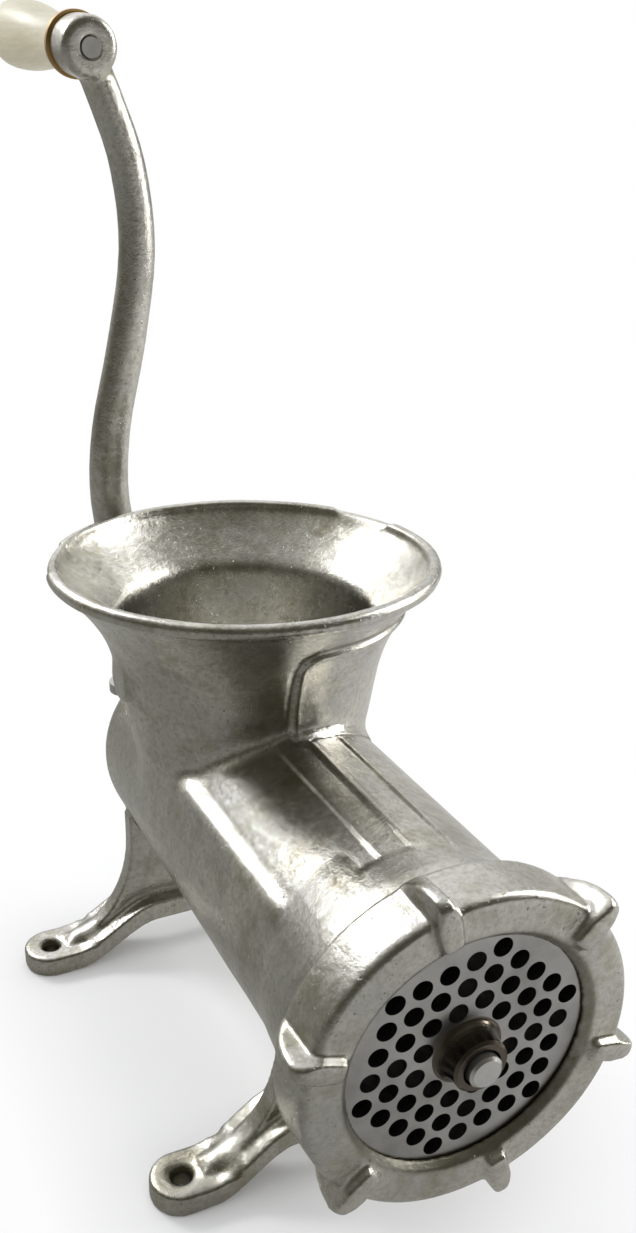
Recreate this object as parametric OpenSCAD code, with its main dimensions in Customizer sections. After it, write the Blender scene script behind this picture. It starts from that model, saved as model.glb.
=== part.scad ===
// Hand-cranked meat grinder that bolts to a bench, in tinned cast iron.
// Origin: on the bench, midway between the two front foot holes.
// +X to the right seen from the plate, +Y towards the crank, +Z up.
// A station is a distance behind the front face of the cutting plate.

/* [Stance] */
// Height of the barrel's axis over the bench
axis_h = 95; // [88:1:110]
// How far the plate's front face stands ahead of the front foot holes
front_overhang = 65; // [58:1:80]
// Distance from the front foot holes to the rear ones
foot_spacing = 158; // [145:1:165]
// Distance between the two front foot holes
front_feet_w = 156; // [146:1:190]
// Distance between the two rear foot holes
rear_feet_w = 171; // [146:1:190]
// Width of a foot's pad
foot_pad_w = 25; // [20:0.5:30]
// Thickness of a foot's pad and strip
foot_t = 9.8; // [7:0.2:14]
// Diameter of a foot's bolt hole
foot_hole_d = 7; // [5:0.5:9]
// Diameter of the countersink over that hole
foot_sink_d = 11.5; // [10:0.5:16]
// Height of the arch under a pair of legs
arch_rise = 18; // [12:0.5:22]
// Half width of the level middle of that arch
arch_half_w = 35; // [28:1:42]
// Thickness of the upright web in a leg
web_t = 9; // [6:0.5:14]
// Height at which a web's edge turns into its concave sweep
web_turn_h = 60; // [52:1:66]
// Height at which a web's edge runs out on its foot
web_toe_h = 14; // [12:0.5:24]
// How far inboard of the foot's hole a web's edge stands
web_inset = 40.5; // [36:0.5:48]

/* [Barrel] */
// Bore of the chamber that the feed screw turns in
chamber_d = 81; // [74:0.5:84]
// Outer diameter of the barrel at its front
barrel_d = 101.2; // [100:0.2:104]
// Outer diameter of the barrel at its rear
barrel_rear_d = 97.4; // [96:0.2:100]
// Station of the rear wall's outer face
barrel_len = 250; // [246:1:254]
// Thickness of the rear wall
rear_wall = 15; // [10:0.5:18]
// Radius of the rear wall's rounded edge
rear_round = 12; // [6:0.5:15]
// Diameter of the bearing boss on the rear wall
boss_d = 48; // [44:0.5:56]
// Length of the bearing boss
boss_len = 12; // [8:0.5:13]
// Outer diameter of the threads that the ring turns on
thread_d = 110; // [109:0.2:114]
// Pitch of those threads
thread_pitch = 6; // [4:0.5:6]
// Depth of those threads
thread_depth = 1.4; // [0.8:0.1:1.8]
// Station at which the thick head starts to narrow into the barrel
head_len = 30; // [26:1:36]
// Length over which the head narrows
head_taper = 28; // [16:1:30]
// Height of the raised panel along the barrel's upper right
panel_h = 1.6; // [1:0.1:3]
// Height of each of the two further steps on that panel
panel_step = 1; // [0.4:0.1:1.4]
// Height of the rib along the barrel's upper left
side_rib_h = 2; // [0.6:0.1:2.4]

/* [Hopper] */
// Station at which the hopper's axis meets the barrel's
hopper_station = 186.2; // [176:0.2:186.4]
// Lean of the hopper towards the crank, in degrees
hopper_lean = 0.8; // [0:0.1:1.5]
// Diameter of the hopper's rim on the centre of its bead
rim_d = 154.8; // [148:0.2:158]
// Height of the rim's bead over the barrel's axis
rim_h = 107; // [100:1:120]
// Diameter of the rim's bead
bead_d = 6.4; // [4:0.2:7]
// Outer diameter of the neck where it leaves the barrel
neck_d = 96.6; // [92:0.2:98]
// Outer diameter of the neck where the bowl starts to flare
neck_top_d = 110.4; // [106:0.2:114]
// Height over the axis where the bowl starts to flare
flare_h = 66; // [62:1:70]
// Wall of the neck
neck_wall = 6.5; // [4.5:0.5:8]
// Diameter of the throat's upper edge, seen inside the bowl
throat_top_d = 107; // [102:0.5:108]
// Height of that edge over the axis
throat_top_h = 86; // [84:1:88]
// Diameter of the bare round pad on the neck's left side
side_pad_d = 19; // [14:1:26]
// Height of that pad's centre over the axis
side_pad_h = 64; // [56:1:66]
// How far the pad stands off the neck
side_pad_proud = 2.2; // [1:0.2:4]

/* [Cutting plate] */
// Diameter of the plate
plate_d = 98.8; // [97:0.2:99]
// Thickness of the plate
plate_t = 10; // [8:0.5:12]
// Diameter of each hole in the plate
hole_d = 7.4; // [4:0.2:8]
// Distance between neighbouring holes
hole_pitch = 10; // [9.5:0.1:10.2]
// Rings of holes, counted from the centre
hole_rings = 4; // [3:1:4]
// Turn of the hexagonal pattern, seen from the front
hole_turn = 15.5; // [0:0.5:60]
// Diameter of the dark hub at the plate's face
hub_base_d = 26.6; // [24:0.2:27]
// Diameter of the hub's outer end
hub_end_d = 20.4; // [17:0.2:23]
// How far the hub stands ahead of the plate
hub_proud = 9.4; // [6:0.2:10]
// Diameter of the hub's part inside the plate
hub_seat_d = 18; // [16.5:0.5:21]
// Diameter of the plate's key pin
key_d = 5; // [4:0.5:6]
// Length of the key pin
key_len = 14; // [10:0.5:16]

/* [Ring nut] */
// Outer diameter of the ring
ring_d = 124; // [122:0.5:128]
// Length of the ring's skirt behind the plate's face
ring_skirt = 18; // [14:0.5:20]
// Thickness of the ring's lip ahead of the plate
ring_lip = 4; // [3:0.2:6]
// Opening at the back of the lip
ring_open_d = 88.8; // [84:0.2:92]
// Opening at the front of the lip
ring_mouth_d = 96; // [92:0.2:100]
// Number of grip lugs
lug_count = 6; // [4:1:8]
// Angle of the first lug, seen from the front
lug_turn = 44.5; // [0:0.5:60]
// Width of a lug
lug_w = 9; // [7:0.5:11]
// How far a lug stands off the ring's side
lug_side = 7.5; // [4:0.5:9]
// How far a lug stands off the ring's face
lug_face = 3.8; // [2:0.2:4.4]

/* [Feed screw] */
// Gap between the flight and the chamber
flight_gap = 0.8; // [0.4:0.1:1.5]
// Diameter of the screw's core at the front
core_front_d = 40; // [36:0.5:46]
// Diameter of the screw's core at the rear
core_rear_d = 30; // [28:0.5:34]
// Pitch of the flight
flight_pitch = 46; // [40:1:60]
// Thickness of the flight at its edge, along the axis
flight_edge = 4; // [3:0.5:6]
// Thickness of the flight at the core, along the axis
flight_root = 8; // [7:0.5:11]
// Diameter of the rear journal
journal_d = 30; // [28:0.5:32]
// Side of the square that drives the crank
crank_square = 20; // [16:0.5:21]
// Diameter of the bushing's outside
bushing_d = 38; // [35:0.5:41]
// Diameter of the grub screw that holds the bushing
grub_d = 6; // [5:0.5:8]
// Thickness of the thrust washer
thrust_t = 3; // [2:0.5:4]
// Diameter of the thrust washer
thrust_d = 60; // [50:1:72]

/* [Stud and knife] */
// Diameter of the stud's round pin
pin_d = 12.4; // [11:0.2:13.2]
// How far the pin stands ahead of the plate's face
pin_proud = 12.6; // [10.6:0.2:15]
// Side of the square that drives the knife
knife_square = 14; // [13:0.2:15]
// Diameter of the stud's shank in the screw
shank_d = 14; // [11:0.5:16]
// Length of the stud's shank in the screw
shank_len = 30; // [20:1:40]
// Thickness of the knife
knife_t = 12; // [10:0.5:14]
// Reach of a knife blade from the axis
knife_reach = 46; // [42:0.5:47]
// Diameter of the knife's hub
knife_hub_d = 34; // [28:0.5:38]
// Width of a knife blade at its tip
blade_tip_w = 8; // [6:0.5:12]
// Width of a knife blade at the hub
blade_root_w = 15; // [12:0.5:20]

/* [Crank] */
// Height of the grip's pivot over the barrel's axis
crank_rise = 293; // [270:1:310]
// How far the pivot lies to the left of the axis
crank_lean = 28; // [20:1:36]
// How far the arm's middle lies behind the middle of its hub
arm_set_back = 5; // [4:0.5:7]
// Depth of the arm along the barrel's axis
arm_depth = 14; // [11:0.5:16]
// Width of the arm near the hub
arm_low_w = 21; // [16:0.5:24]
// Width of the arm near the grip
arm_high_w = 13.6; // [11:0.2:16]
// Diameter of the arm's hub
arm_hub_d = 38; // [34:0.5:44]
// Length of the arm's hub
arm_hub_len = 28; // [26:0.5:28]
// Diameter of the eye that holds the grip's spindle
eye_d = 23; // [20:0.5:26]
// Length of the eye
eye_len = 19; // [16:0.5:20]
// Thickness of the washer under the crank's screw
crank_washer_t = 2.5; // [1.5:0.5:4]
// Diameter of that washer
crank_washer_d = 30; // [29:0.5:36]
// Diameter of the crank's thumb screw
screw_d = 12; // [10:0.5:13]
// How deep the thumb screw goes into the feed screw
screw_grip = 20; // [16:1:22]
// Diameter of the thumb screw's head
screw_head_d = 19; // [18:0.5:24]
// Length of the thumb screw's head
screw_head_len = 10; // [8:0.5:14]
// Span across the thumb screw's two wings
wing_span = 48; // [42:1:60]
// Thickness of a wing
wing_t = 5; // [3:0.5:7]

/* [Grip] */
// Upward tilt of the grip's spindle
grip_tilt = 3.6; // [0:0.2:6]
// Length of the grip
grip_len = 97; // [85:1:110]
// Diameter of the grip at its waist
grip_waist_d = 20.4; // [19:0.2:24]
// Largest diameter of the grip
grip_d = 28.4; // [26:0.2:32]
// Diameter of the grip's inner end
grip_foot_d = 23; // [22:0.5:26]
// Diameter of the collar between the grip and the eye
collar_d = 25; // [23:0.5:28]
// Thickness of the collar
collar_t = 4; // [3:0.5:6]
// Diameter of the spindle inside the grip
spindle_d = 9; // [8.5:0.5:11]
// Diameter of the spindle's rivet in the eye
rivet_d = 7.6; // [6:0.2:8.2]
// Diameter of the spindle's outer head
spindle_head_d = 13; // [12:0.5:15]
// Thickness of the spindle's outer head
spindle_head_t = 3; // [2:0.5:4]
// Thickness of the washer at the grip's outer end
end_washer_t = 1.6; // [1:0.2:2.4]

/* [Fits] */
// Gap round a piece that turns or slides in its seat
running_gap = 0.05; // [0.02:0.01:0.1]
// Gap round a piece that is pressed or screwed home
press_gap = 0.02; // [0.01:0.01:0.04]
// Gap between free faces that pass each other
free_gap = 0.3; // [0.3:0.05:0.6]
// Gap between end faces that turn against each other
face_gap = 0.1; // [0.05:0.05:0.2]

/* [Hidden] */
$fn = 96;

// A cut runs this far past the face that it opens
over = 1;

// Stations along the barrel
barrel_start = 1.5;
seat_r = plate_d / 2 + free_gap;
knife_front = plate_t + face_gap;
knife_back = knife_front + knife_t;
seat_end = knife_back + 2;
screw_front = knife_back + free_gap;
chamber_end = barrel_len - rear_wall;
thrust_front = chamber_end - thrust_t;
screw_shoulder = thrust_front - face_gap;
boss_end = barrel_len + boss_len;
hub_front = boss_end + 2;
hub_back = hub_front + arm_hub_len;
square_end = hub_back - 1;
arm_station = (hub_front + hub_back) / 2 + arm_set_back;
washer_back = hub_back + crank_washer_t;

// Radii that fit each other
chamber_r = chamber_d / 2;
flight_r = chamber_r - flight_gap;
bushing_bore_r = journal_d / 2 + running_gap;
thread_r = thread_d / 2;
head_r = thread_r - 0.5;
ring_bore_r = thread_r + free_gap + 0.05;
key_r = key_d / 2;
pin_r = pin_d / 2;
screw_r = screw_d / 2;
spindle_r = spindle_d / 2;

// Places in the part's frame
plate_y = -front_overhang;
hopper_y = plate_y + hopper_station;
rim_z = axis_h + rim_h;

// The crank arm's way from hub to eye: sideways in mm, height as a share of the rise
arm_way = [[0, 0.03], [-9, 0.12], [-20, 0.24], [-27, 0.37], [-25, 0.48], [-16, 0.61],
    [-9.5, 0.74], [-12, 0.85], [-20, 0.935], [-crank_lean, 1]];

function bezier(a, b, c, d, t) =
    a * pow(1 - t, 3) + 3 * b * t * pow(1 - t, 2) + 3 * c * t * t * (1 - t) + d * pow(t, 3);
function curve(a, b, c, d, n) = [for (i = [0:n]) bezier(a, b, c, d, i / n)];
function arc(cx, cy, rx, ry, from, to, n) =
    [for (i = [0:n]) let (a = from + (to - from) * i / n) [cx + rx * cos(a), cy + ry * sin(a)]];
function ease(t) = let (u = min(1, max(0, t))) u * u * (3 - 2 * u);

// Puts a shape on the barrel's axis: its z runs backwards from the plate's face
module on_barrel(station = 0)
    translate([0, plate_y + station, axis_h])
        rotate([90, 0, 0])
            mirror([0, 0, 1]) children();

module tube(length, outer_r, inner_r)
    difference() {
        cylinder(h = length, r = outer_r);
        translate([0, 0, -over]) cylinder(h = length + 2 * over, r = inner_r);
    }

// Round barrel with its threaded nose, thick head and rounded rear edge
module barrel_outside() {
    rear_r = barrel_rear_d / 2;
    outline = concat(
        [[0, barrel_start], [thread_r - 1, barrel_start], [thread_r, barrel_start + 1],
         [thread_r, ring_skirt + 2], [head_r, ring_skirt + 3], [head_r, head_len],
         [barrel_d / 2, head_len + head_taper], [rear_r, barrel_len - rear_round]],
        arc(rear_r - rear_round, barrel_len - rear_round, rear_round, rear_round, 15, 90, 5),
        [[0, barrel_len]]);
    on_barrel() rotate_extrude() polygon(outline);
    on_barrel(barrel_len - over) cylinder(h = boss_len + over, d1 = boss_d + 3, d2 = boss_d);
}

// Part of a ring round the barrel, between two stations and two angles
module barrel_arc(outer_r, front, back, from, to)
    on_barrel(front)
        rotate([0, 0, from])
            rotate_extrude(angle = to - from)
                translate([chamber_r + 4, 0]) square([outer_r - chamber_r - 4, back - front]);

// Raised panel on the upper right and the rib on the upper left
module barrel_bands() {
    panel_r = barrel_d / 2 + panel_h - 0.8;
    barrel_arc(panel_r, head_len, hopper_station - 20, 12, 102);
    barrel_arc(panel_r + panel_step, head_len, hopper_station - 20, 12, 89);
    barrel_arc(panel_r + 2 * panel_step, head_len, hopper_station - 20, 12, 73);
    barrel_arc(barrel_d / 2 + side_rib_h - 0.6, head_len + head_taper, hopper_station - 20, 142, 152);
}

// Puts a shape on the hopper's own axis, which leans a little to the rear
module on_hopper(height = 0)
    translate([0, hopper_y, axis_h])
        rotate([-hopper_lean, 0, 0])
            translate([0, 0, height]) children();

// Neck and bowl as one turned shape, and the bead round the rim
module hopper_outside() {
    rim_r = rim_d / 2;
    top_r = neck_top_d / 2;
    outline = concat(
        [[0, 0], [neck_d / 2, 0], [neck_d / 2, 25]],
        curve([top_r, flare_h], [top_r + 3, flare_h + 11], [top_r + 3.8, flare_h + 19],
              [rim_r + 1, rim_h - 1], 12),
        [[0, rim_h - 1]]);
    on_hopper() rotate_extrude() polygon(outline);
    on_hopper(rim_h) rotate_extrude() translate([rim_r, 0]) circle(d = bead_d);
    on_hopper(side_pad_h)
        translate([-top_r - side_pad_proud + 1, 0, 0])
            rotate([0, 90, 0]) cylinder(h = 10, d = side_pad_d);
}

// Space in the bowl and down the throat to the feed screw
module hopper_inside() {
    mouth_r = rim_d / 2 - 2.2;
    throat_r = neck_d / 2 - neck_wall;
    edge_r = throat_top_d / 2;
    outline = concat(
        [[0, 0], [throat_r, 0], [throat_r, 30], [edge_r, throat_top_h]],
        curve([edge_r + 0.5, throat_top_h + 0.5], [edge_r + 4.5, throat_top_h + 5],
              [mouth_r - 7.2, rim_h - 9], [mouth_r, rim_h], 10),
        [[mouth_r, rim_h + 10], [0, rim_h + 10]]);
    on_hopper() rotate_extrude() polygon(outline);
}

// Plate seat, chamber and rear bearing bore
module barrel_inside() {
    on_barrel() cylinder(h = seat_end, r = seat_r);
    on_barrel(seat_end - over) cylinder(h = 6, r1 = seat_r - 3, r2 = chamber_r);
    on_barrel(seat_end - over) cylinder(h = chamber_end - seat_end + over, r = chamber_r);
    on_barrel(chamber_end - over) cylinder(h = rear_wall + boss_len + 2 * over, d = bushing_d);
}

// V grooves round a thread: a stand-in for its helix, depth is negative for a bore
module thread_grooves(crest_r, depth, first, last)
    for (s = [first:thread_pitch:last])
        on_barrel(s)
            rotate_extrude()
                polygon([[crest_r + 0.3 * sign(depth), -thread_pitch * 0.36],
                         [crest_r + 0.3 * sign(depth), thread_pitch * 0.36],
                         [crest_r - depth, 0]]);

// Front view of a pair of legs' strip, arched between two flat feet
module strip_outline(feet_w) {
    rise_end = feet_w / 2 - 9.5;
    steps = 28;
    function under(x) = arch_rise * ease((rise_end - abs(x)) / (rise_end - arch_half_w));
    across = [for (i = [0:steps]) feet_w * (i / steps - 0.5)];
    polygon(concat([for (x = across) [x, under(x)]],
                   [for (i = [steps:-1:0]) [across[i], under(across[i]) + foot_t]]));
}

// Front view of a pair of legs' web, concave down each side to a toe by the hole
module web_outline(feet_w) {
    toe = feet_w / 2 - foot_sink_d / 2 - 2;
    edge = feet_w / 2 - web_inset;
    side = concat([[-edge, web_turn_h + 12]],
        arc(-toe + 3, web_turn_h, toe - 3 - edge, web_turn_h - web_toe_h, 0, -90, 10),
        [[-toe, foot_t + 1], [-toe, foot_t - 1], [-toe + 12, foot_t - 1], [-arch_half_w, arch_rise + 2]]);
    other = [for (i = [len(side) - 1:-1:0]) [-side[i][0], side[i][1]]];
    polygon(concat(side, other));
}

module leg_pair(feet_w) {
    rotate([90, 0, 0])
        translate([0, 0, -foot_pad_w / 2])
            linear_extrude(foot_pad_w) strip_outline(feet_w);
    rotate([90, 0, 0])
        translate([0, 0, -web_t / 2])
            linear_extrude(web_t) web_outline(feet_w);
    for (side = [-1, 1])
        translate([side * feet_w / 2, 0, 0]) cylinder(h = foot_t, d = foot_pad_w);
}

module foot_holes(feet_w)
    for (side = [-1, 1])
        translate([side * feet_w / 2, 0, 0]) {
            translate([0, 0, -over]) cylinder(h = foot_t + 2 * over, d = foot_hole_d);
            translate([0, 0, foot_t - 2.6]) cylinder(h = 2.7, d1 = foot_hole_d, d2 = foot_sink_d);
        }

module key_seat(r, from, to)
    on_barrel(from) rotate([0, 0, -90]) translate([seat_r, 0, 0]) cylinder(h = to - from, r = r);

module grub_seat(r, low, high)
    translate([0, plate_y + barrel_len + boss_len / 2, axis_h - high])
        cylinder(h = high - low, r = r);

module body_casting() color("silver")
    difference() {
        union() {
            barrel_outside();
            barrel_bands();
            hopper_outside();
            leg_pair(front_feet_w);
            translate([0, foot_spacing, 0]) leg_pair(rear_feet_w);
        }
        barrel_inside();
        hopper_inside();
        foot_holes(front_feet_w);
        translate([0, foot_spacing, 0]) foot_holes(rear_feet_w);
        thread_grooves(thread_r, thread_depth, barrel_start + 3, ring_skirt);
        key_seat(key_r + press_gap, barrel_start, barrel_start + key_len);
        grub_seat(grub_d / 2 + press_gap, bushing_d / 2 - over, boss_d / 2 + 3);
    }

module rear_bushing() color("goldenrod")
    on_barrel(chamber_end)
        tube(rear_wall + boss_len, bushing_d / 2 - press_gap, bushing_bore_r);

module bushing_screw() color("dimgray")
    difference() {
        grub_seat(grub_d / 2, bushing_d / 2, boss_d / 2 - 0.5);
        translate([0, plate_y + barrel_len + boss_len / 2, axis_h - boss_d / 2])
            cylinder(h = 2.5, d = grub_d / 2, $fn = 6);
    }

module plate_key() color("gray")
    key_seat(key_r, barrel_start + 1, barrel_start + key_len);

// Flight of the worm: its tapered section swept round the axis, left-handed
module flight(length) {
    inner_r = core_rear_d / 2 - 3;
    section = [[inner_r, -flight_root / 2], [flight_r, -flight_edge / 2],
               [flight_r, flight_edge / 2], [inner_r, flight_root / 2]];
    sides = len(section);
    travel = length - flight_root;
    rings = ceil(travel / flight_pitch * 24);
    points = [for (j = [0:rings])
        let (z = flight_root / 2 + travel * j / rings, a = 360 * z / flight_pitch)
        for (p = section) [p[0] * cos(a), p[0] * sin(a), z + p[1]]];
    walls = [for (j = [0:rings - 1]) for (k = [0:sides - 1])
        let (m = (k + 1) % sides, a = j * sides + k, b = j * sides + m,
             c = (j + 1) * sides + m, d = (j + 1) * sides + k)
        each [[a, b, c], [a, c, d]]];
    last = rings * sides;
    ends = [[0, 2, 1], [0, 3, 2], [last, last + 1, last + 2], [last, last + 2, last + 3]];
    polyhedron(points = points, faces = concat(walls, ends));
}

// Left-hand worm, its rear journal and the square end that the crank fits
module feed_screw() color("gainsboro") {
    flight_front = screw_front + 2;
    flight_len = screw_shoulder - 4 - flight_front;
    difference() {
        union() {
            on_barrel(screw_front)
                cylinder(h = screw_shoulder - screw_front, d1 = core_front_d, d2 = core_rear_d);
            on_barrel(flight_front) flight(flight_len);
            on_barrel(screw_shoulder - 5) cylinder(h = 5, r = thrust_d / 2);
            on_barrel(screw_shoulder - 1) cylinder(h = boss_end + 1 - screw_shoulder, d = journal_d);
            on_barrel(boss_end - 1)
                translate([-crank_square / 2, -crank_square / 2, 0])
                    cube([crank_square, crank_square, square_end - boss_end + 1]);
        }
        on_barrel(screw_front - over)
            cylinder(h = shank_len + 2 * over, r = shank_d / 2 + press_gap);
        on_barrel(hub_back - screw_grip - 2)
            cylinder(h = screw_grip + 4, r = screw_r + running_gap);
    }
}

// Square that drives the knife, with the round pin that carries the plate's hub
module screw_stud() color("lightgray") {
    side = knife_square - 2 * running_gap;
    on_barrel(screw_front) cylinder(h = shank_len, d = shank_d);
    on_barrel(knife_front)
        translate([-side / 2, -side / 2, 0]) cube([side, side, screw_front - knife_front]);
    on_barrel(-pin_proud + 1) cylinder(h = knife_front + pin_proud, r = pin_r);
    on_barrel(-pin_proud) cylinder(h = 1, r1 = pin_r - 1, r2 = pin_r);
}

module thrust_washer() color("peru")
    on_barrel(thrust_front) tube(thrust_t, thrust_d / 2, journal_d / 2 + free_gap);

// Four swept blades on a hub with a square hole
module knife() color("lightsteelblue")
    on_barrel(knife_front)
        difference() {
            union() {
                cylinder(h = knife_t - 1, d = knife_hub_d);
                for (a = [0:90:270])
                    rotate([0, 0, a])
                        linear_extrude(knife_t - 1)
                            polygon([[0, -blade_root_w / 2], [knife_reach, -blade_tip_w / 2],
                                     [knife_reach - 2, blade_tip_w / 2],
                                     [knife_hub_d / 2, blade_root_w / 2], [0, blade_root_w / 2]]);
            }
            translate([-knife_square / 2, -knife_square / 2, -over])
                cube([knife_square, knife_square, knife_t + 2 * over]);
        }

// Centres of the holes in one ring of the hexagonal pattern
function hex_ring(k) = [for (side = [0:5]) for (step = [0:k - 1])
    let (a = hole_turn + 60 * side, b = a + 120)
    hole_pitch * [k * cos(a) + step * cos(b), k * sin(a) + step * sin(b)]];

module cutting_plate() color("darkgray")
    difference() {
        on_barrel() cylinder(h = plate_t, d = plate_d);
        for (k = [2:hole_rings])
            for (c = hex_ring(k))
                on_barrel(-over)
                    translate(c) cylinder(h = plate_t + 2 * over, d = hole_d, $fn = 32);
        on_barrel(-over) cylinder(h = plate_t + 2 * over, r = hub_seat_d / 2 + press_gap);
        key_seat(key_r + free_gap, -over, plate_t + over);
        on_barrel(-over)
            translate([-key_r - free_gap, -seat_r - over, 0])
                cube([key_d + 2 * free_gap, over + 0.5, plate_t + 2 * over]);
    }

// Dark polished hub pressed into the plate, which turns on the stud's pin
module plate_hub() color([0.28, 0.26, 0.24])
    on_barrel() {
        bore_r = pin_r + running_gap;
        flare = hub_base_d / 2 - hub_end_d / 2;
        outline = concat(
            [[bore_r, plate_t], [hub_seat_d / 2, plate_t], [hub_seat_d / 2, 0]],
            arc(hub_base_d / 2, -hub_proud * 0.8, flare, hub_proud * 0.8, 90, 180, 8),
            [[hub_end_d / 2, -hub_proud + 1], [hub_end_d / 2 - 1, -hub_proud],
             [bore_r + 0.9, -hub_proud], [bore_r + 0.9, -hub_proud + 5], [bore_r, -hub_proud + 5]]);
        rotate_extrude() polygon(outline);
    }

// Grip lug: a wedge that rises along the ring's side and turns in over its face
module ring_lug() {
    root = ring_d / 2;
    top = root + lug_side;
    lug_front = ring_lip + lug_face;
    outline = concat(
        [[ring_mouth_d / 2 + 0.5, -ring_lip + 1], [ring_mouth_d / 2 + 2.5, -lug_front]],
        arc(top - 5, -lug_front + 5, 5, 5, -90, 0, 5),
        [[top - 0.4, ring_skirt * 0.2], [top - lug_side * 0.25, ring_skirt * 0.5],
         [root + 1.4, ring_skirt - 1], [root - 3, ring_skirt - 1], [root - 3, -ring_lip + 1]]);
    half = lug_w / 2;
    crest = half * 0.5;
    intersection() {
        rotate([90, 0, 0])
            translate([0, 0, -half - over])
                linear_extrude(lug_w + 2 * over) polygon(outline);
        translate([0, 0, -lug_front - over])
            linear_extrude(ring_skirt + lug_front + over)
                polygon([[ring_mouth_d / 2, -half * 0.8], [root - 2, -half], [top + over, -crest],
                         [top + over, crest], [root - 2, half], [ring_mouth_d / 2, half * 0.8]]);
    }
}

// Ring that screws on the barrel's nose and clamps the plate
module ring_nut() color("silver")
    difference() {
        union() {
            on_barrel()
                rotate_extrude()
                    polygon(concat(
                        [[ring_open_d / 2, 0], [ring_mouth_d / 2, -ring_lip]],
                        arc(ring_d / 2 - 3, -ring_lip + 3, 3, 3, -90, 0, 5),
                        [[ring_d / 2 + 0.6, ring_skirt - 1.5], [ring_d / 2 - 1, ring_skirt],
                         [ring_bore_r, ring_skirt], [ring_bore_r, 0]]));
            on_barrel()
                for (i = [0:lug_count - 1])
                    rotate([0, 0, lug_turn + i * 360 / lug_count]) ring_lug();
        }
        thread_grooves(ring_bore_r, -thread_depth, barrel_start + 3, ring_skirt - 2);
    }

// Places along the arm by Catmull-Rom: t runs over the spans of arm_way
function way_point(i) = let (p = arm_way[min(len(arm_way) - 1, max(0, i))])
    [p[0], p[1] * crank_rise];
function arm_at(t) =
    let (i = min(len(arm_way) - 2, floor(t)), u = t - i,
         a = way_point(i - 1), b = way_point(i), c = way_point(i + 1), d = way_point(i + 2))
    0.5 * (2 * b + (c - a) * u + (2 * a - 5 * b + 4 * c - d) * u * u
           + (3 * b - a - 3 * c + d) * u * u * u);

// Oval bar swept along the arm's way
module arm_sweep() {
    sides = 16;
    spans = len(arm_way) - 1;
    rings = 4 * spans;
    points = [for (j = [0:rings])
        let (t = spans * j / rings, p = arm_at(t), ahead = arm_at(t + 0.05), back = arm_at(t - 0.05),
             dir = (ahead - back) / norm(ahead - back), across = [dir[1], -dir[0]],
             half = (arm_low_w + (arm_high_w - arm_low_w) * j / rings) / 2)
        for (k = [0:sides - 1])
            let (a = 360 * k / sides)
            [p[0] + across[0] * half * cos(a), p[1] + across[1] * half * cos(a),
             arm_depth / 2 * sin(a)]];
    walls = [for (j = [0:rings - 1]) for (k = [0:sides - 1])
        let (m = (k + 1) % sides, a = j * sides + k, b = j * sides + m,
             c = (j + 1) * sides + m, d = (j + 1) * sides + k)
        each [[a, b, c], [a, c, d]]];
    start = [for (k = [1:sides - 2]) [0, k + 1, k]];
    last = rings * sides;
    finish = [for (k = [1:sides - 2]) [last, last + k, last + k + 1]];
    polyhedron(points = points, faces = concat(walls, start, finish));
}

// Puts a shape on the grip's axis: its z runs outwards from the eye's middle
module on_grip(distance = 0)
    translate([-crank_lean, plate_y + arm_station, axis_h + crank_rise])
        rotate([-90 + grip_tilt, 0, 0])
            translate([0, 0, distance]) children();

module eye_outside()
    rotate_extrude()
        polygon(concat([[0, -eye_len / 2]],
                       arc(eye_d / 2 - 3, -eye_len / 2 + 3, 3, 3, -90, 0, 5),
                       arc(eye_d / 2 - 2, eye_len / 2 - 2, 2, 2, 0, 90, 4),
                       [[0, eye_len / 2]]));

module crank_arm() color("silver")
    difference() {
        union() {
            on_barrel(hub_front) cylinder(h = arm_hub_len, d = arm_hub_d);
            on_barrel(arm_station) arm_sweep();
            on_grip() eye_outside();
        }
        on_barrel(hub_front - over)
            translate([-crank_square / 2 - running_gap, -crank_square / 2 - running_gap, 0])
                cube([crank_square + 2 * running_gap, crank_square + 2 * running_gap,
                      arm_hub_len + 2 * over]);
        on_grip(-eye_len / 2 - over)
            cylinder(h = eye_len + 2 * over, r = rivet_d / 2 + press_gap);
    }

module crank_washer() color("darkgray")
    on_barrel(hub_back) tube(crank_washer_t, crank_washer_d / 2, screw_r + free_gap);

// Thumb screw with two wings that holds the crank on its square
module crank_screw() color("lightgray") {
    wing_r = (wing_span - screw_head_d) / 3;
    on_barrel(hub_back - screw_grip)
        cylinder(h = screw_grip + crank_washer_t + 1, r = screw_r);
    on_barrel(washer_back) cylinder(h = screw_head_len, d = screw_head_d);
    on_barrel(washer_back + 3)
        rotate([90, 0, 0])
            translate([0, 0, -wing_t / 2])
                linear_extrude(wing_t)
                    for (side = [-1, 1])
                        polygon(concat(
                            [[0, 0], [0, screw_head_len - 3]],
                            arc(side * (wing_span / 2 - wing_r), wing_r + 4, side * wing_r, wing_r,
                                120, -60, 10)));
}

// Spindle riveted in the eye, with a head that keeps the grip on
module grip_spindle() color("lightgray") {
    grip_end = eye_len / 2 + collar_t + 2 * face_gap + grip_len;
    head_seat = grip_end + face_gap + end_washer_t;
    on_grip(-eye_len / 2 - 0.3) cylinder(h = eye_len + 0.3 + over, r = rivet_d / 2);
    on_grip(eye_len / 2) cylinder(h = head_seat - eye_len / 2 + over, r = spindle_r);
    on_grip(head_seat) cylinder(h = spindle_head_t, d1 = spindle_head_d, d2 = spindle_head_d - 3);
}

module grip_collar() color("saddlebrown")
    on_grip(eye_len / 2)
        rotate_extrude()
            polygon([[spindle_r + press_gap, 0], [collar_d / 2 - 0.8, 0], [collar_d / 2, 0.8],
                     [collar_d / 2, collar_t - 0.8], [collar_d / 2 - 0.8, collar_t],
                     [spindle_r + press_gap, collar_t]]);

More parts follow.
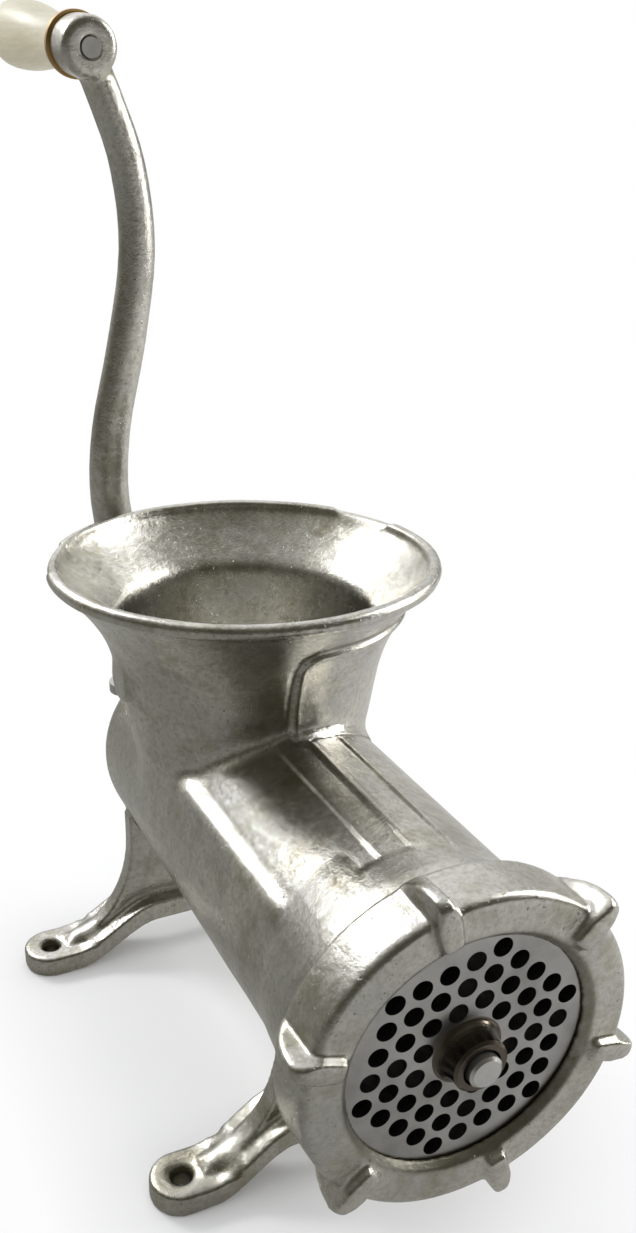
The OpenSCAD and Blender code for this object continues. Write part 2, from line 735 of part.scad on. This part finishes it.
// Turned grip: a foot, a waist and a full outer end
module wooden_grip() color([0.80, 0.77, 0.62])
    on_grip(eye_len / 2 + collar_t + face_gap) {
        bore_r = spindle_r + running_gap;
        outline = concat(
            [[bore_r, 0]],
            curve([grip_foot_d / 2 - 0.6, 0], [grip_foot_d / 2 + 0.4, 5], [grip_waist_d / 2, 6],
                  [grip_waist_d / 2, 16], 6),
            curve([grip_waist_d / 2, 17], [grip_waist_d / 2, grip_len * 0.42],
                  [grip_d / 2, grip_len * 0.5], [grip_d / 2, grip_len - 16], 8),
            arc(grip_d / 2 - 8, grip_len - 14, 8, 14, 10, 90, 6),
            [[bore_r, grip_len]]);
        rotate_extrude() polygon(outline);
    }

module grip_end_washer() color("darkgray")
    on_grip(eye_len / 2 + collar_t + 2 * face_gap + grip_len)
        tube(end_washer_t, spindle_head_d / 2 + 0.5, spindle_r + press_gap);

body_casting();
rear_bushing();
bushing_screw();
plate_key();
feed_screw();
screw_stud();
thrust_washer();
knife();
cutting_plate();
plate_hub();
ring_nut();
crank_arm();
crank_washer();
crank_screw();
grip_spindle();
grip_collar();
wooden_grip();
grip_end_washer();
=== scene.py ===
"""Looks of a hand-cranked meat grinder in tinned cast iron, on a pale studio floor.

Lengths are metres in the part's frame: +Y from the cutting plate towards the crank, +Z up.
"""

import math

import bmesh
import bpy
import numpy as np
from mathutils import Matrix, Vector, noise


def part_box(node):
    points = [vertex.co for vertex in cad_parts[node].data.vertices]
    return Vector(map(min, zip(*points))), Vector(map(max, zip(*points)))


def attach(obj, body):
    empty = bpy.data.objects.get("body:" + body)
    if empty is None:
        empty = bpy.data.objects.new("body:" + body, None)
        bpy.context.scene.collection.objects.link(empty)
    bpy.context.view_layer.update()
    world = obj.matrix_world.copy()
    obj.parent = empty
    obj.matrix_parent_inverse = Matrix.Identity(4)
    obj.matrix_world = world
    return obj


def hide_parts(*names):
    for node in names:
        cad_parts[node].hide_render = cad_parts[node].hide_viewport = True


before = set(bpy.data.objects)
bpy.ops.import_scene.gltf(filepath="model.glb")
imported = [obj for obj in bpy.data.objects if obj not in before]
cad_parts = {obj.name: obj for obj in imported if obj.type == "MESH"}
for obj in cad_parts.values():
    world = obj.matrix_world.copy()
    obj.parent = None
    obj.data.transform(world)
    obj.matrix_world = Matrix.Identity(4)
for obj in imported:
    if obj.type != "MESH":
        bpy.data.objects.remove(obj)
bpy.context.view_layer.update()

MM = 0.001

# Places read from the frame
plate_low, plate_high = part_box("cutting_plate")
AXIS_Z = (plate_low.z + plate_high.z) / 2
PLATE_Y = plate_low.y
eye_low, eye_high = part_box("grip_collar")
GRIP_MIDDLE = (eye_low + eye_high) / 2

# The hopper's axis meets the barrel's at this station, and leans back by this much
HOPPER_Y = PLATE_Y + 186.2 * MM
HOPPER_LEAN = math.radians(0.8)
BARREL_R = 50.6 * MM
MIDDLE = Vector((0, 0.1, 0.15))
FLOOR_MIDDLE = (0, 0.08, 0)
BARREL_REAR_R = 48.7 * MM
NECK_R = [(25, 48.3), (66, 55.2), (74, 57.4), (82, 60.6), (90, 65.3)]
FOOT_HOLES = [(-78, 0), (78, 0), (-85.5, 158), (85.5, 158)]

# Camera of the photograph
CAMERA_PLACE = Vector((-0.1898, -0.3286, 0.3777))
CAMERA_RIGHT = Vector((0.9061, -0.4226, 0.0172))
CAMERA_DOWN = Vector((-0.1802, -0.4225, -0.8883))
CAMERA_LOOK = Vector((0.3827, 0.8019, -0.4590))
CAMERA_LENS_MM = 36.70
CAMERA_SHIFT = (0.0165, 0.0913)


def make_camera():
    data = bpy.data.cameras.new("camera")
    data.lens = CAMERA_LENS_MM
    data.sensor_width = 36
    data.shift_x, data.shift_y = CAMERA_SHIFT
    data.clip_start, data.clip_end = 0.01, 60
    camera = bpy.data.objects.new("camera", data)
    bpy.context.scene.collection.objects.link(camera)
    turn = Matrix((CAMERA_RIGHT, -CAMERA_DOWN, -CAMERA_LOOK)).transposed().normalized()
    camera.matrix_world = Matrix.Translation(CAMERA_PLACE) @ turn.to_4x4()
    bpy.context.scene.camera = camera


# Shader building blocks


class Shader:
    """A node material: make() adds a node, and ready() joins the last one to the output."""

    def __init__(self, name):
        self.material = bpy.data.materials.new(name)
        self.material.use_nodes = True
        self.tree = self.material.node_tree
        self.tree.nodes.clear()

    def make(self, kind, inputs=None, **settings):
        node = self.tree.nodes.new("ShaderNode" + kind)
        for key, value in settings.items():
            setattr(node, key, value)
        for key, value in (inputs or {}).items():
            if isinstance(value, bpy.types.NodeSocket):
                self.tree.links.new(value, node.inputs[key])
            else:
                node.inputs[key].default_value = value
        return node

    def ready(self, shader):
        self.make("OutputMaterial", {"Surface": shader.outputs[0]})
        return self.material

    def places(self, scale=(1, 1, 1), turn=(0, 0, 0)):
        """Places on the piece in metres, scaled, so that patterns keep their real size."""
        where = self.make("TexCoord").outputs["Object"]
        return self.make("Mapping", {"Vector": where, "Scale": scale, "Rotation": turn}).outputs[0]

    def grain(self, scale, detail=3.0, rough=0.55, places=None, seed=0.0):
        """Noise with this many features to the metre, from 0 to 1."""
        where = places or self.make("TexCoord").outputs["Object"]
        return self.make(
            "TexNoise",
            {"Vector": where, "Scale": scale, "Detail": detail, "Roughness": rough, "W": seed},
            noise_dimensions="4D",
        ).outputs["Fac"]

    def spread(self, value, low, high, to_low=0.0, to_high=1.0):
        return self.make(
            "MapRange",
            {"Value": value, "From Min": low, "From Max": high, "To Min": to_low, "To Max": to_high},
        ).outputs[0]

    def mix(self, share, first, second, blend="MIX"):
        node = self.make("Mix", data_type="RGBA", blend_type=blend)
        for socket, value in ((node.inputs[0], share), (node.inputs[6], first), (node.inputs[7], second)):
            if isinstance(value, bpy.types.NodeSocket):
                self.tree.links.new(value, socket)
            else:
                socket.default_value = value if isinstance(value, float) else (*value, 1.0)
        return node.outputs[2]

    def sum(self, first, second, kind="ADD"):
        return self.make("Math", {0: first, 1: second}, operation=kind).outputs[0]

    def bump(self, height, strength, depth, normal=None):
        inputs = {"Height": height, "Strength": strength, "Distance": depth}
        if normal:
            inputs["Normal"] = normal
        return self.make("Bump", inputs).outputs[0]


# Materials


def cast_tin(name, seed):
    """Tinned cast iron: warm silver with olive stains, painted shade in the corners and hollows, cast grain and
    pits.

    The piece carries this darkening, mostly painted shade with some grime, as a point attribute from 0 to 1.
    """
    s = Shader(name)
    patches = s.spread(s.grain(24, 5, 0.62, seed=seed), 0.38, 0.64)
    stains = s.spread(s.grain(48, 6, 0.7, seed=seed + 3), 0.50, 0.70)
    mottle = s.spread(s.grain(420, 5, 0.72, seed=seed + 4), 0.44, 0.64)
    colour = s.mix(patches, (0.66, 0.645, 0.585), (0.52, 0.515, 0.50))
    colour = s.mix(s.sum(stains, 0.75, "MULTIPLY"), colour, (0.31, 0.275, 0.18))
    colour = s.mix(s.sum(mottle, 0.5, "MULTIPLY"), colour, (0.33, 0.32, 0.27))
    grime_and_shade = s.make("Attribute", attribute_name="grime_and_shade").outputs["Fac"]
    grime_and_shade = s.sum(grime_and_shade, s.spread(s.grain(210, 4, 0.6, seed=seed + 6), 0.2, 0.6, 0.55, 1.0), "MULTIPLY")
    # Painted shade: the stored mask, broken up by grain, darkens corners, hollows and recesses towards dark olive
    colour = s.mix(grime_and_shade, colour, (0.13, 0.12, 0.075))
    pits = s.spread(s.grain(650, 2, 0.5, seed=seed + 7), 0.66, 0.74)
    colour = s.mix(s.sum(pits, 0.6, "MULTIPLY"), colour, (0.13, 0.12, 0.09))
    rough = s.spread(s.grain(90, 5, 0.7, seed=seed + 5), 0.3, 0.7, 0.16, 0.30)
    rough = s.sum(rough, s.sum(grime_and_shade, 0.2, "MULTIPLY"))
    grit = s.grain(950, 5, 0.7, seed=seed + 9)
    waves = s.grain(180, 4, 0.6, seed=seed + 11)
    normal = s.bump(waves, 0.5, 0.0003)
    normal = s.bump(grit, 0.85, 0.0002, normal)
    normal = s.bump(s.sum(1.0, pits, "SUBTRACT"), 0.7, 0.00018, normal)
    return s.ready(s.make("BsdfPrincipled", {
        "Base Color": colour, "Metallic": 1.0, "Roughness": rough, "Normal": normal}))


def from_barrel_axis(s, parts):
    """The way from the barrel's axis to a place on the piece."""
    height = s.sum(parts.outputs["Z"], AXIS_Z, "SUBTRACT")
    return s.make("CombineXYZ", {"X": parts.outputs["X"], "Y": 0.0, "Z": height}).outputs[0]


def turned_steel(name, colour, rough, rings=0.0, seed=0.0, anisotropy=0.0):
    """Steel with fine turning marks round the barrel's axis and a few scratches."""
    s = Shader(name)
    parts = s.make("SeparateXYZ", {"Vector": s.places()})
    across = from_barrel_axis(s, parts)
    radius = s.make("VectorMath", {0: across}, operation="LENGTH").outputs["Value"]
    marks = s.make("TexNoise", {"W": radius, "Scale": 2600.0, "Detail": 2.0}, noise_dimensions="1D").outputs["Fac"]
    scratches = s.spread(s.grain(9, 6, 0.7, s.places((1, 1, 60), (0.3, 0.5, 0.7)), seed), 0.55, 0.75)
    cloud = s.grain(60, 4, 0.6, seed=seed + 2)
    tone = s.mix(s.spread(cloud, 0.35, 0.7), colour, tuple(0.78 * c for c in colour))
    tone = s.mix(s.sum(scratches, 0.25, "MULTIPLY"), tone, (0.30, 0.28, 0.24))
    worn = s.spread(cloud, 0.3, 0.7, rough * 0.8, rough * 1.3)
    normal = s.bump(marks, rings, 0.00004)
    normal = s.bump(s.grain(1200, 2, 0.5, seed=seed + 4), 0.12, 0.00006, normal)
    inputs = {"Base Color": tone, "Metallic": 1.0, "Roughness": worn, "Normal": normal}
    if anisotropy:
        round_axis = s.make("VectorMath", {0: across, 1: (0, 1, 0)}, operation="CROSS_PRODUCT")
        tangent = s.make(
            "VectorTransform", {0: round_axis.outputs[0]},
            vector_type="VECTOR", convert_from="OBJECT", convert_to="WORLD")
        inputs["Anisotropic"] = anisotropy
        inputs["Tangent"] = tangent.outputs[0]
    return s.ready(s.make("BsdfPrincipled", inputs))


def grip_paint():
    """Pale cream paint on turned wood, with the grain showing along it and worn dark specks."""
    s = Shader("grip_paint")
    along = s.places((1, 0.06, 1))
    lines = s.grain(420, 4, 0.65, along, 1.0)
    colour = s.mix(s.spread(lines, 0.3, 0.75), (0.62, 0.58, 0.42), (0.48, 0.43, 0.29))
    grime_and_shade = s.spread(s.grain(120, 5, 0.7, seed=2.0), 0.6, 0.8)
    colour = s.mix(s.sum(grime_and_shade, 0.5, "MULTIPLY"), colour, (0.38, 0.32, 0.20))
    normal = s.bump(lines, 0.25, 0.0002)
    rough = s.spread(grime_and_shade, 0.0, 1.0, 0.38, 0.6)
    return s.ready(s.make("BsdfPrincipled", {
        "Base Color": colour, "Roughness": rough, "Normal": normal, "Coat Weight": 0.15, "Coat Roughness": 0.25}))


def dress_nodes():
    """Gives each CAD node that stays visible its own finish."""
    steel = (0.60, 0.60, 0.59)
    finishes = {
        "cutting_plate": turned_steel("ground_plate", (0.50, 0.495, 0.49), 0.34, 0.25, 1.0, 0.8),
        "plate_hub": turned_steel("dark_hub", (0.135, 0.115, 0.095), 0.25, 0.1, 2.0),
        "screw_stud": turned_steel("bright_pin", (0.66, 0.65, 0.64), 0.33, 0.2, 3.0),
        "knife": turned_steel("knife_steel", (0.52, 0.52, 0.51), 0.34, 0.2, 4.0),
        "crank_screw": turned_steel("screw_steel", (0.55, 0.54, 0.52), 0.34, 0.2, 5.0),
        "crank_washer": turned_steel("washer_steel", (0.50, 0.49, 0.47), 0.38, 0.3, 6.0),
        "bushing_screw": turned_steel("grub_steel", (0.40, 0.39, 0.37), 0.42, 0.2, 7.0),
        "plate_key": turned_steel("key_steel", (0.50, 0.49, 0.47), 0.36, 0.2, 8.0),
        "grip_spindle": turned_steel("spindle_steel", (0.52, 0.51, 0.49), 0.36, 0.1, 9.0),
        "grip_end_washer": turned_steel("end_washer_steel", (0.50, 0.49, 0.47), 0.38, 0.1, 10.0),
        "rear_bushing": turned_steel("bushing_bronze", (0.58, 0.40, 0.20), 0.34, 0.3, 11.0),
        "thrust_washer": turned_steel("thrust_bronze", (0.58, 0.40, 0.20), 0.34, 0.3, 12.0),
        "grip_collar": turned_steel("collar_brass", (0.50, 0.31, 0.12), 0.34, 0.1, 13.0),
        "wooden_grip": grip_paint(),
    }
    for node, material in finishes.items():
        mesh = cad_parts[node].data
        mesh.materials.clear()
        mesh.materials.append(material)


# Cast pieces, grown from the CAD nodes' forms


def vertex_array(data):
    flat = np.empty(len(data.vertices) * 3)
    data.vertices.foreach_get("co", flat)
    return flat.reshape(-1, 3)


def normal_array(data):
    flat = np.empty(len(data.vertices) * 3)
    data.vertex_normals.foreach_get("vector", flat)
    return flat.reshape(-1, 3)


class Skin:
    """A mesh's places and edges as arrays, to smooth and bend it."""

    def __init__(self, data):
        self.data = data
        self.places = vertex_array(data)
        pairs = np.empty(len(data.edges) * 2, int)
        data.edges.foreach_get("vertices", pairs)
        self.near, self.far = pairs.reshape(-1, 2).T
        self.degree = np.bincount(pairs, minlength=len(self.places))

    def average(self, values):
        """Each point's mean over its neighbours."""
        count = len(self.places)
        total = np.bincount(self.near, values[self.far], count) + np.bincount(self.far, values[self.near], count)
        return total / np.maximum(self.degree, 1)

    def soften(self, passes, weight=1.0):
        """Moves each point half of weight towards its neighbours' mean, so that edges wear round."""
        for _ in range(passes):
            for axis in range(3):
                column = self.places[:, axis]
                column += 0.5 * weight * (self.average(column) - column)

    def hollows(self, spread_passes):
        """1 along concave corners, fading to 0 over the next few points."""
        pull = np.stack([self.average(self.places[:, k]) - self.places[:, k] for k in range(3)], 1)
        sunk = (pull * normal_array(self.data)).sum(1)
        mask = (sunk > 0.12 * np.median(np.linalg.norm(self.edge_steps(), axis=1))).astype(float)
        for _ in range(spread_passes):
            mask = np.maximum(mask, 1.02 * self.average(mask) - 0.01)
            mask = 0.5 * mask + 0.5 * self.average(mask)
        return np.clip(1.6 * mask, 0, 1)

    def edge_steps(self):
        return self.places[self.near] - self.places[self.far]

    def write(self):
        self.data.vertices.foreach_set("co", self.places.ravel())
        self.data.update()


def uneven(skin, weight, seed):
    """The slight waviness of a sand casting: long swells and small lumps, along the normal."""
    normals = normal_array(skin.data)
    offset = Vector((seed, 2 * seed, -seed))
    lumps = np.array([
        0.16 * MM * noise.noise(Vector(p) / (24 * MM) + offset) + 0.05 * MM * noise.noise(Vector(p) / (5 * MM))
        for p in skin.places])
    skin.places += normals * (lumps * weight)[:, None]


def cast_piece(name, node, voxel, passes):
    """A new piece with the CAD node's form, remeshed as one skin."""
    form = bmesh.new()
    form.from_mesh(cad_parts[node].data)
    bmesh.ops.remove_doubles(form, verts=form.verts, dist=1e-6)
    rough = bpy.data.meshes.new(name + "_form")
    form.to_mesh(rough)
    form.free()
    piece = bpy.data.objects.new(name, rough)
    bpy.context.scene.collection.objects.link(piece)
    remesh = piece.modifiers.new("skin", "REMESH")
    remesh.mode = "VOXEL"
    remesh.voxel_size = voxel
    bpy.context.view_layer.update()
    ready = piece.evaluated_get(bpy.context.evaluated_depsgraph_get())
    piece.data = bpy.data.meshes.new_from_object(ready)
    piece.modifiers.clear()
    piece.data.name = name
    skin = Skin(piece.data)
    skin.soften(passes)
    skin.write()
    return piece, skin


def settle(skin, values, passes):
    """Blurs values over the skin."""
    for _ in range(passes):
        values = 0.5 * values + 0.5 * skin.average(values)
    return values


def add_grime_and_shade(piece, amount):
    """Stores how dark each point is made, mostly painted shade, for the cast tin's shader."""
    layer = piece.data.attributes.new("grime_and_shade", "FLOAT", "POINT")
    layer.data.foreach_set("value", np.clip(amount, 0, 1).astype(np.float32))


def finish_cast(piece, skin, node, body, material):
    skin.write()
    piece.data.shade_smooth()
    piece.data.materials.clear()
    piece.data.materials.append(material)
    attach(piece, body)
    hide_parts(node)


def rise(values, start, end):
    """0 up to start and 1 from end on, smooth between; works downwards too."""
    share = np.clip((values - start) / (end - start), 0, 1)
    return share * share * (3 - 2 * share)


def bead(values, middle, half):
    return np.exp(-((values - middle) / half) ** 2)


def raise_bands(skin):
    """Sharp steps of the panel along the barrel's upper right, where the remesh wore them away."""
    x, y, z = skin.places.T
    from_axis = np.hypot(x, z - AXIS_Z)
    angle = np.degrees(np.arctan2(z - AXIS_Z, x))
    station = (y - PLATE_Y) / MM
    plain = np.interp(station, (58, 238), (BARREL_R, BARREL_REAR_R))
    first, second, third = 51.6 * MM, 52.6 * MM, 53.5 * MM
    target = plain + (first - plain) * rise(angle, 103, 101.2)
    target += (second - first) * rise(angle, 89.8, 88)
    target += (third - second) * rise(angle, 73.8, 72)
    target += 0.45 * MM * (bead(angle, 88, 1.2) + 0.8 * bead(angle, 72, 1.1) + 0.5 * bead(angle, 84.5, 1.2))
    target = plain + (target - plain) * rise(angle, 12, 18)
    neck = np.interp((z - AXIS_Z) / MM, *zip(*NECK_R)) * MM
    clear = np.hypot(x, y - HOPPER_Y) - neck
    here = rise(station, 42, 47) * rise(clear, 4 * MM, 9 * MM) * (y < HOPPER_Y)
    here = here * ((angle > 8) & (angle < 112) & (np.abs(from_axis - target) < 4 * MM))
    scale = 1 + here * (target / np.maximum(from_axis, MM) - 1)
    skin.places[:, 0] = x * scale
    skin.places[:, 2] = AXIS_Z + (z - AXIS_Z) * scale


def raise_neck_panel(skin):
    """The proud panel on the neck's front right, with a round upper corner and a groove beside it."""
    x, y, z = skin.places.T
    height = z - AXIS_Z
    across, back = x, y - HOPPER_Y - height * math.sin(HOPPER_LEAN)
    radius = np.hypot(across, back)
    neck = np.interp(height / MM, *zip(*NECK_R)) * MM
    angle = np.arctan2(-back, across)
    left, right, top, corner = math.radians(93.5), math.radians(-62), 91 * MM, 9 * MM
    inward = np.minimum(left - angle, angle - right) * radius
    below = top - height
    deep = np.minimum(inward, below)
    turned = corner - np.hypot(corner - inward, corner - below)
    deep = np.where((inward < corner) & (below < corner), turned, deep)
    lift = 1.7 * MM * rise(deep, -0.6 * MM, 1.2 * MM) + 0.5 * MM * bead(deep, 1.5 * MM, 1.2 * MM)
    lift -= 0.6 * MM * bead(deep, -1.5 * MM, 1.2 * MM)
    normals = normal_array(skin.data)
    faces_out = normals[:, 0] * across + normals[:, 1] * back > 0.1 * radius
    outer = faces_out & (np.abs(radius - neck) < 5 * MM) & (height > 20 * MM)
    outer = outer & (np.hypot(x, height) > BARREL_R + 1.5 * MM) & (height < 95 * MM)
    lift = lift * outer / np.maximum(radius, MM)
    skin.places[:, 0] += across * lift
    skin.places[:, 1] += back * lift


def fade(distance, reach):
    return np.clip(1 - distance / reach, 0, 1)


def make_casting():
    """Barrel, hopper, neck and legs in one casting, with generous fillets where they meet."""
    piece, skin = cast_piece("casting", "body_casting", 0.9 * MM, 4)
    x, y, z = skin.places.T
    from_axis = np.hypot(x, z - AXIS_Z)
    from_neck = np.hypot(x, y - HOPPER_Y)
    height = z - AXIS_Z
    neck = np.interp(height / MM, *zip(*NECK_R)) * MM
    join = fade(np.abs(from_axis - BARREL_R), 9 * MM) * fade(np.abs(from_neck - neck), 9 * MM) * (height > 0)
    corners = skin.hollows(5)
    low = corners * ((z < AXIS_Z - 20 * MM) | (y > PLATE_Y + 248 * MM)) * (from_axis > 46 * MM)
    crease = (from_neck < 60 * MM) & (np.abs(height - 86 * MM) < 6 * MM)
    hole = np.min([np.hypot(x - a * MM, y - b * MM) for a, b in FOOT_HOLES], axis=0)
    toe = (hole > 8 * MM) & (hole < 24 * MM) & (z > 11 * MM)
    rib = (np.abs(np.degrees(np.arctan2(height, x)) - 147) < 9) & (from_axis < 54 * MM) & (y < HOPPER_Y)
    skin.soften(90, np.clip(1.6 * join + low + 0.3 * crease + 0.6 * toe + 0.3 * rib, 0, 1))
    skin.write()
    raise_neck_panel(skin)
    raise_bands(skin)
    skin.soften(1)
    outside = (from_axis > 47 * MM) & (y > PLATE_Y + 24 * MM) & (z > 2 * MM)
    uneven(skin, outside.astype(float), 1.0)
    # Painted shade: darker in concave corners, down the throat, inside the barrel, along the bottom near the
    # floor, and fully dark inside the foot holes
    throat_shade = (from_neck < neck - 2.5 * MM) & (height > 38 * MM) & (height < 85 * MM)
    barrel_inside_shade = (from_axis < 46 * MM) & (height < 38 * MM) & (z > 30 * MM)
    grime_and_shade = 0.6 * corners * outside + 0.12 * throat_shade + 0.8 * barrel_inside_shade + 0.25 * (z < 4 * MM)
    add_grime_and_shade(piece, settle(skin, grime_and_shade, 4) + (hole < 4.6 * MM))
    finish_cast(piece, skin, "body_casting", "root", cast_tin("tin_casting", 0.0))


def make_ring():
    piece, skin = cast_piece("ring", "ring_nut", 0.8 * MM, 4)
    x, y, z = skin.places.T
    from_axis = np.hypot(x, z - AXIS_Z)
    outside = (from_axis > 58 * MM) | (y < PLATE_Y - 1 * MM)
    lugs = ((from_axis > 63.2 * MM) | (y < PLATE_Y - 4.3 * MM)).astype(float)
    corners = skin.hollows(3)
    skin.soften(22, np.clip(corners * outside + 0.6 * settle(skin, lugs, 6), 0, 1))
    uneven(skin, outside.astype(float), 4.0)
    # Painted shade: darker in the corners, on the inner surfaces and on the wall of the mouth round the plate
    mouth_shade = (from_axis < 48.5 * MM) & (y < PLATE_Y + 1 * MM)
    add_grime_and_shade(piece, settle(skin, 0.5 * corners * outside + 0.7 * ~outside + 0.6 * mouth_shade, 2))
    finish_cast(piece, skin, "ring_nut", "ring", cast_tin("tin_ring", 21.0))


def make_arm():
    piece, skin = cast_piece("arm", "crank_arm", 0.8 * MM, 5)
    x, y, z = skin.places.T
    outside = (np.hypot(x, z - AXIS_Z) > 16 * MM) & (np.hypot(x - GRIP_MIDDLE.x, z - GRIP_MIDDLE.z) > 6 * MM)
    corners = skin.hollows(5)
    skin.soften(40, corners * outside)
    uneven(skin, outside.astype(float), 7.0)
    # Painted shade in the arm's concave corners
    add_grime_and_shade(piece, settle(skin, 0.4 * corners, 4))
    finish_cast(piece, skin, "crank_arm", "drive", cast_tin("tin_arm", 42.0))


def make_worm():
    piece, skin = cast_piece("worm", "feed_screw", 1.0 * MM, 4)
    add_grime_and_shade(piece, np.full(len(skin.places), 0.45))
    finish_cast(piece, skin, "feed_screw", "drive", cast_tin("tin_worm", 63.0))


# Studio


def make_floor():
    """A pale floor: white to the camera away from the object, with its shadow kept, partly as painted shade near
    the object.

    Reflections show a painted tone of it, darker on the photographer's left as painted shade, where less light
    falls.
    """
    s = Shader("floor_paper")
    paths = s.make("LightPath")
    where = s.make("SeparateXYZ", {"Vector": s.places()})
    direct = s.sum(paths.outputs["Is Camera Ray"], paths.outputs["Is Transmission Ray"], "MAXIMUM")
    middle = s.make("VectorMath", {0: s.places(), 1: FLOOR_MIDDLE}, operation="DISTANCE").outputs["Value"]
    far = s.spread(middle, 0.12, 0.36, 0.93, 1.0)
    # Painted contact shadow: an occlusion mask takes the white away near the object, so the paper under and around
    # it shows darker
    clear = s.make("AmbientOcclusion", {"Distance": 0.11}, samples=12).outputs["AO"]
    clear = s.sum(clear, 2.4, "POWER")
    share = s.sum(s.sum(far, clear, "MULTIPLY"), direct, "MULTIPLY")
    paper = s.make("BsdfDiffuse", {"Color": (0.90, 0.90, 0.90, 1)})
    white = s.make("Emission", {"Color": (1, 1, 1, 1), "Strength": 1.0})
    seen = s.make("MixShader", {0: share, 1: paper.outputs[0], 2: white.outputs[0]})
    # Painted reflection of the floor: a glowing tone for glossy rays, with painted shade towards the
    # photographer's left
    side = s.spread(where.outputs["X"], -0.14, 0.26)
    tone = s.mix(side, (0.15, 0.146, 0.115), (0.66, 0.65, 0.62))
    painted_floor_reflection = s.make("Emission", {"Color": tone, "Strength": 1.0})
    gloss = s.sum(paths.outputs["Is Glossy Ray"], 0.8, "MULTIPLY")
    both = s.make("MixShader", {0: gloss, 1: seen.outputs[0], 2: painted_floor_reflection.outputs[0]})
    mesh = bpy.data.meshes.new("floor")
    half = 12.0
    mesh.from_pydata([(-half, -half, 0), (half, -half, 0), (half, half, 0), (-half, half, 0)], [], [(0, 1, 2, 3)])
    mesh.materials.append(s.ready(both))
    floor = bpy.data.objects.new("floor", mesh)
    bpy.context.scene.collection.objects.link(floor)


def make_world():
    """White behind the object, bright overhead, and darker on the photographer's side in reflections."""
    world = bpy.data.worlds.new("studio")
    bpy.context.scene.world = world
    world.use_nodes = True
    tree = world.node_tree
    tree.nodes.clear()

    def make(kind, **settings):
        node = tree.nodes.new("ShaderNode" + kind)
        for key, value in settings.items():
            setattr(node, key, value)
        return node

    paths = make("LightPath")
    where = make("TexCoord")
    towards = make("VectorMath", operation="DOT_PRODUCT")
    towards.inputs[1].default_value = (0.10, 0.72, 0.68)
    tree.links.new(where.outputs["Generated"], towards.inputs[0])
    ramp = make("ValToRGB")
    stops = ramp.color_ramp.elements
    stops[0].position, stops[0].color = 0.05, (0.085, 0.081, 0.06, 1)
    stops[1].position, stops[1].color = 0.88, (1, 1, 1, 1)
    for position, colour in ((0.48, (0.22, 0.215, 0.18, 1)), (0.70, (0.58, 0.575, 0.55, 1))):
        stops.new(position).color = colour
    tree.links.new(towards.outputs["Value"], ramp.inputs[0])
    soft = make("Background")
    soft.inputs["Color"].default_value = (0.82, 0.83, 0.85, 1)
    soft.inputs["Strength"].default_value = 0.8
    room = make("Background")
    room.inputs["Strength"].default_value = 1.1
    tree.links.new(ramp.outputs[0], room.inputs["Color"])
    white = make("Background")
    white.inputs["Color"].default_value = (1, 1, 1, 1)
    mirror = make("MixShader")
    seen = make("MixShader")
    tree.links.new(paths.outputs["Is Glossy Ray"], mirror.inputs[0])
    tree.links.new(soft.outputs[0], mirror.inputs[1])
    tree.links.new(room.outputs[0], mirror.inputs[2])
    tree.links.new(paths.outputs["Is Camera Ray"], seen.inputs[0])
    tree.links.new(mirror.outputs[0], seen.inputs[1])
    tree.links.new(white.outputs[0], seen.inputs[2])
    out = make("OutputWorld")
    tree.links.new(seen.outputs[0], out.inputs["Surface"])


def area_light(name, way, distance, size, power, colour=(1, 1, 1)):
    """A window-like lamp, this way and this far from the object's middle."""
    data = bpy.data.lights.new(name, "AREA")
    data.shape = "RECTANGLE"
    data.size, data.size_y = size
    data.energy = power
    data.color = colour
    lamp = bpy.data.objects.new(name, data)
    way = Vector(way).normalized()
    lamp.location = MIDDLE + distance * way
    lamp.rotation_euler = (-way).to_track_quat("-Z", "Y").to_euler()
    lamp.visible_camera = False
    bpy.context.scene.collection.objects.link(lamp)


def make_lights():
    area_light("window_left", (-0.38, 0.68, 0.62), 1.5, (0.45, 0.35), 9)
    area_light("window_right", (0.79, -0.03, 0.50), 1.5, (0.50, 0.50), 10)
    area_light("low_side", (0.93, -0.27, 0.20), 1.2, (0.25, 0.25), 3, (1.0, 0.98, 0.95))


bpy.context.scene.view_settings.view_transform = "Standard"
make_camera()
make_world()
make_floor()
make_lights()
dress_nodes()
make_casting()
make_ring()
make_arm()
make_worm()
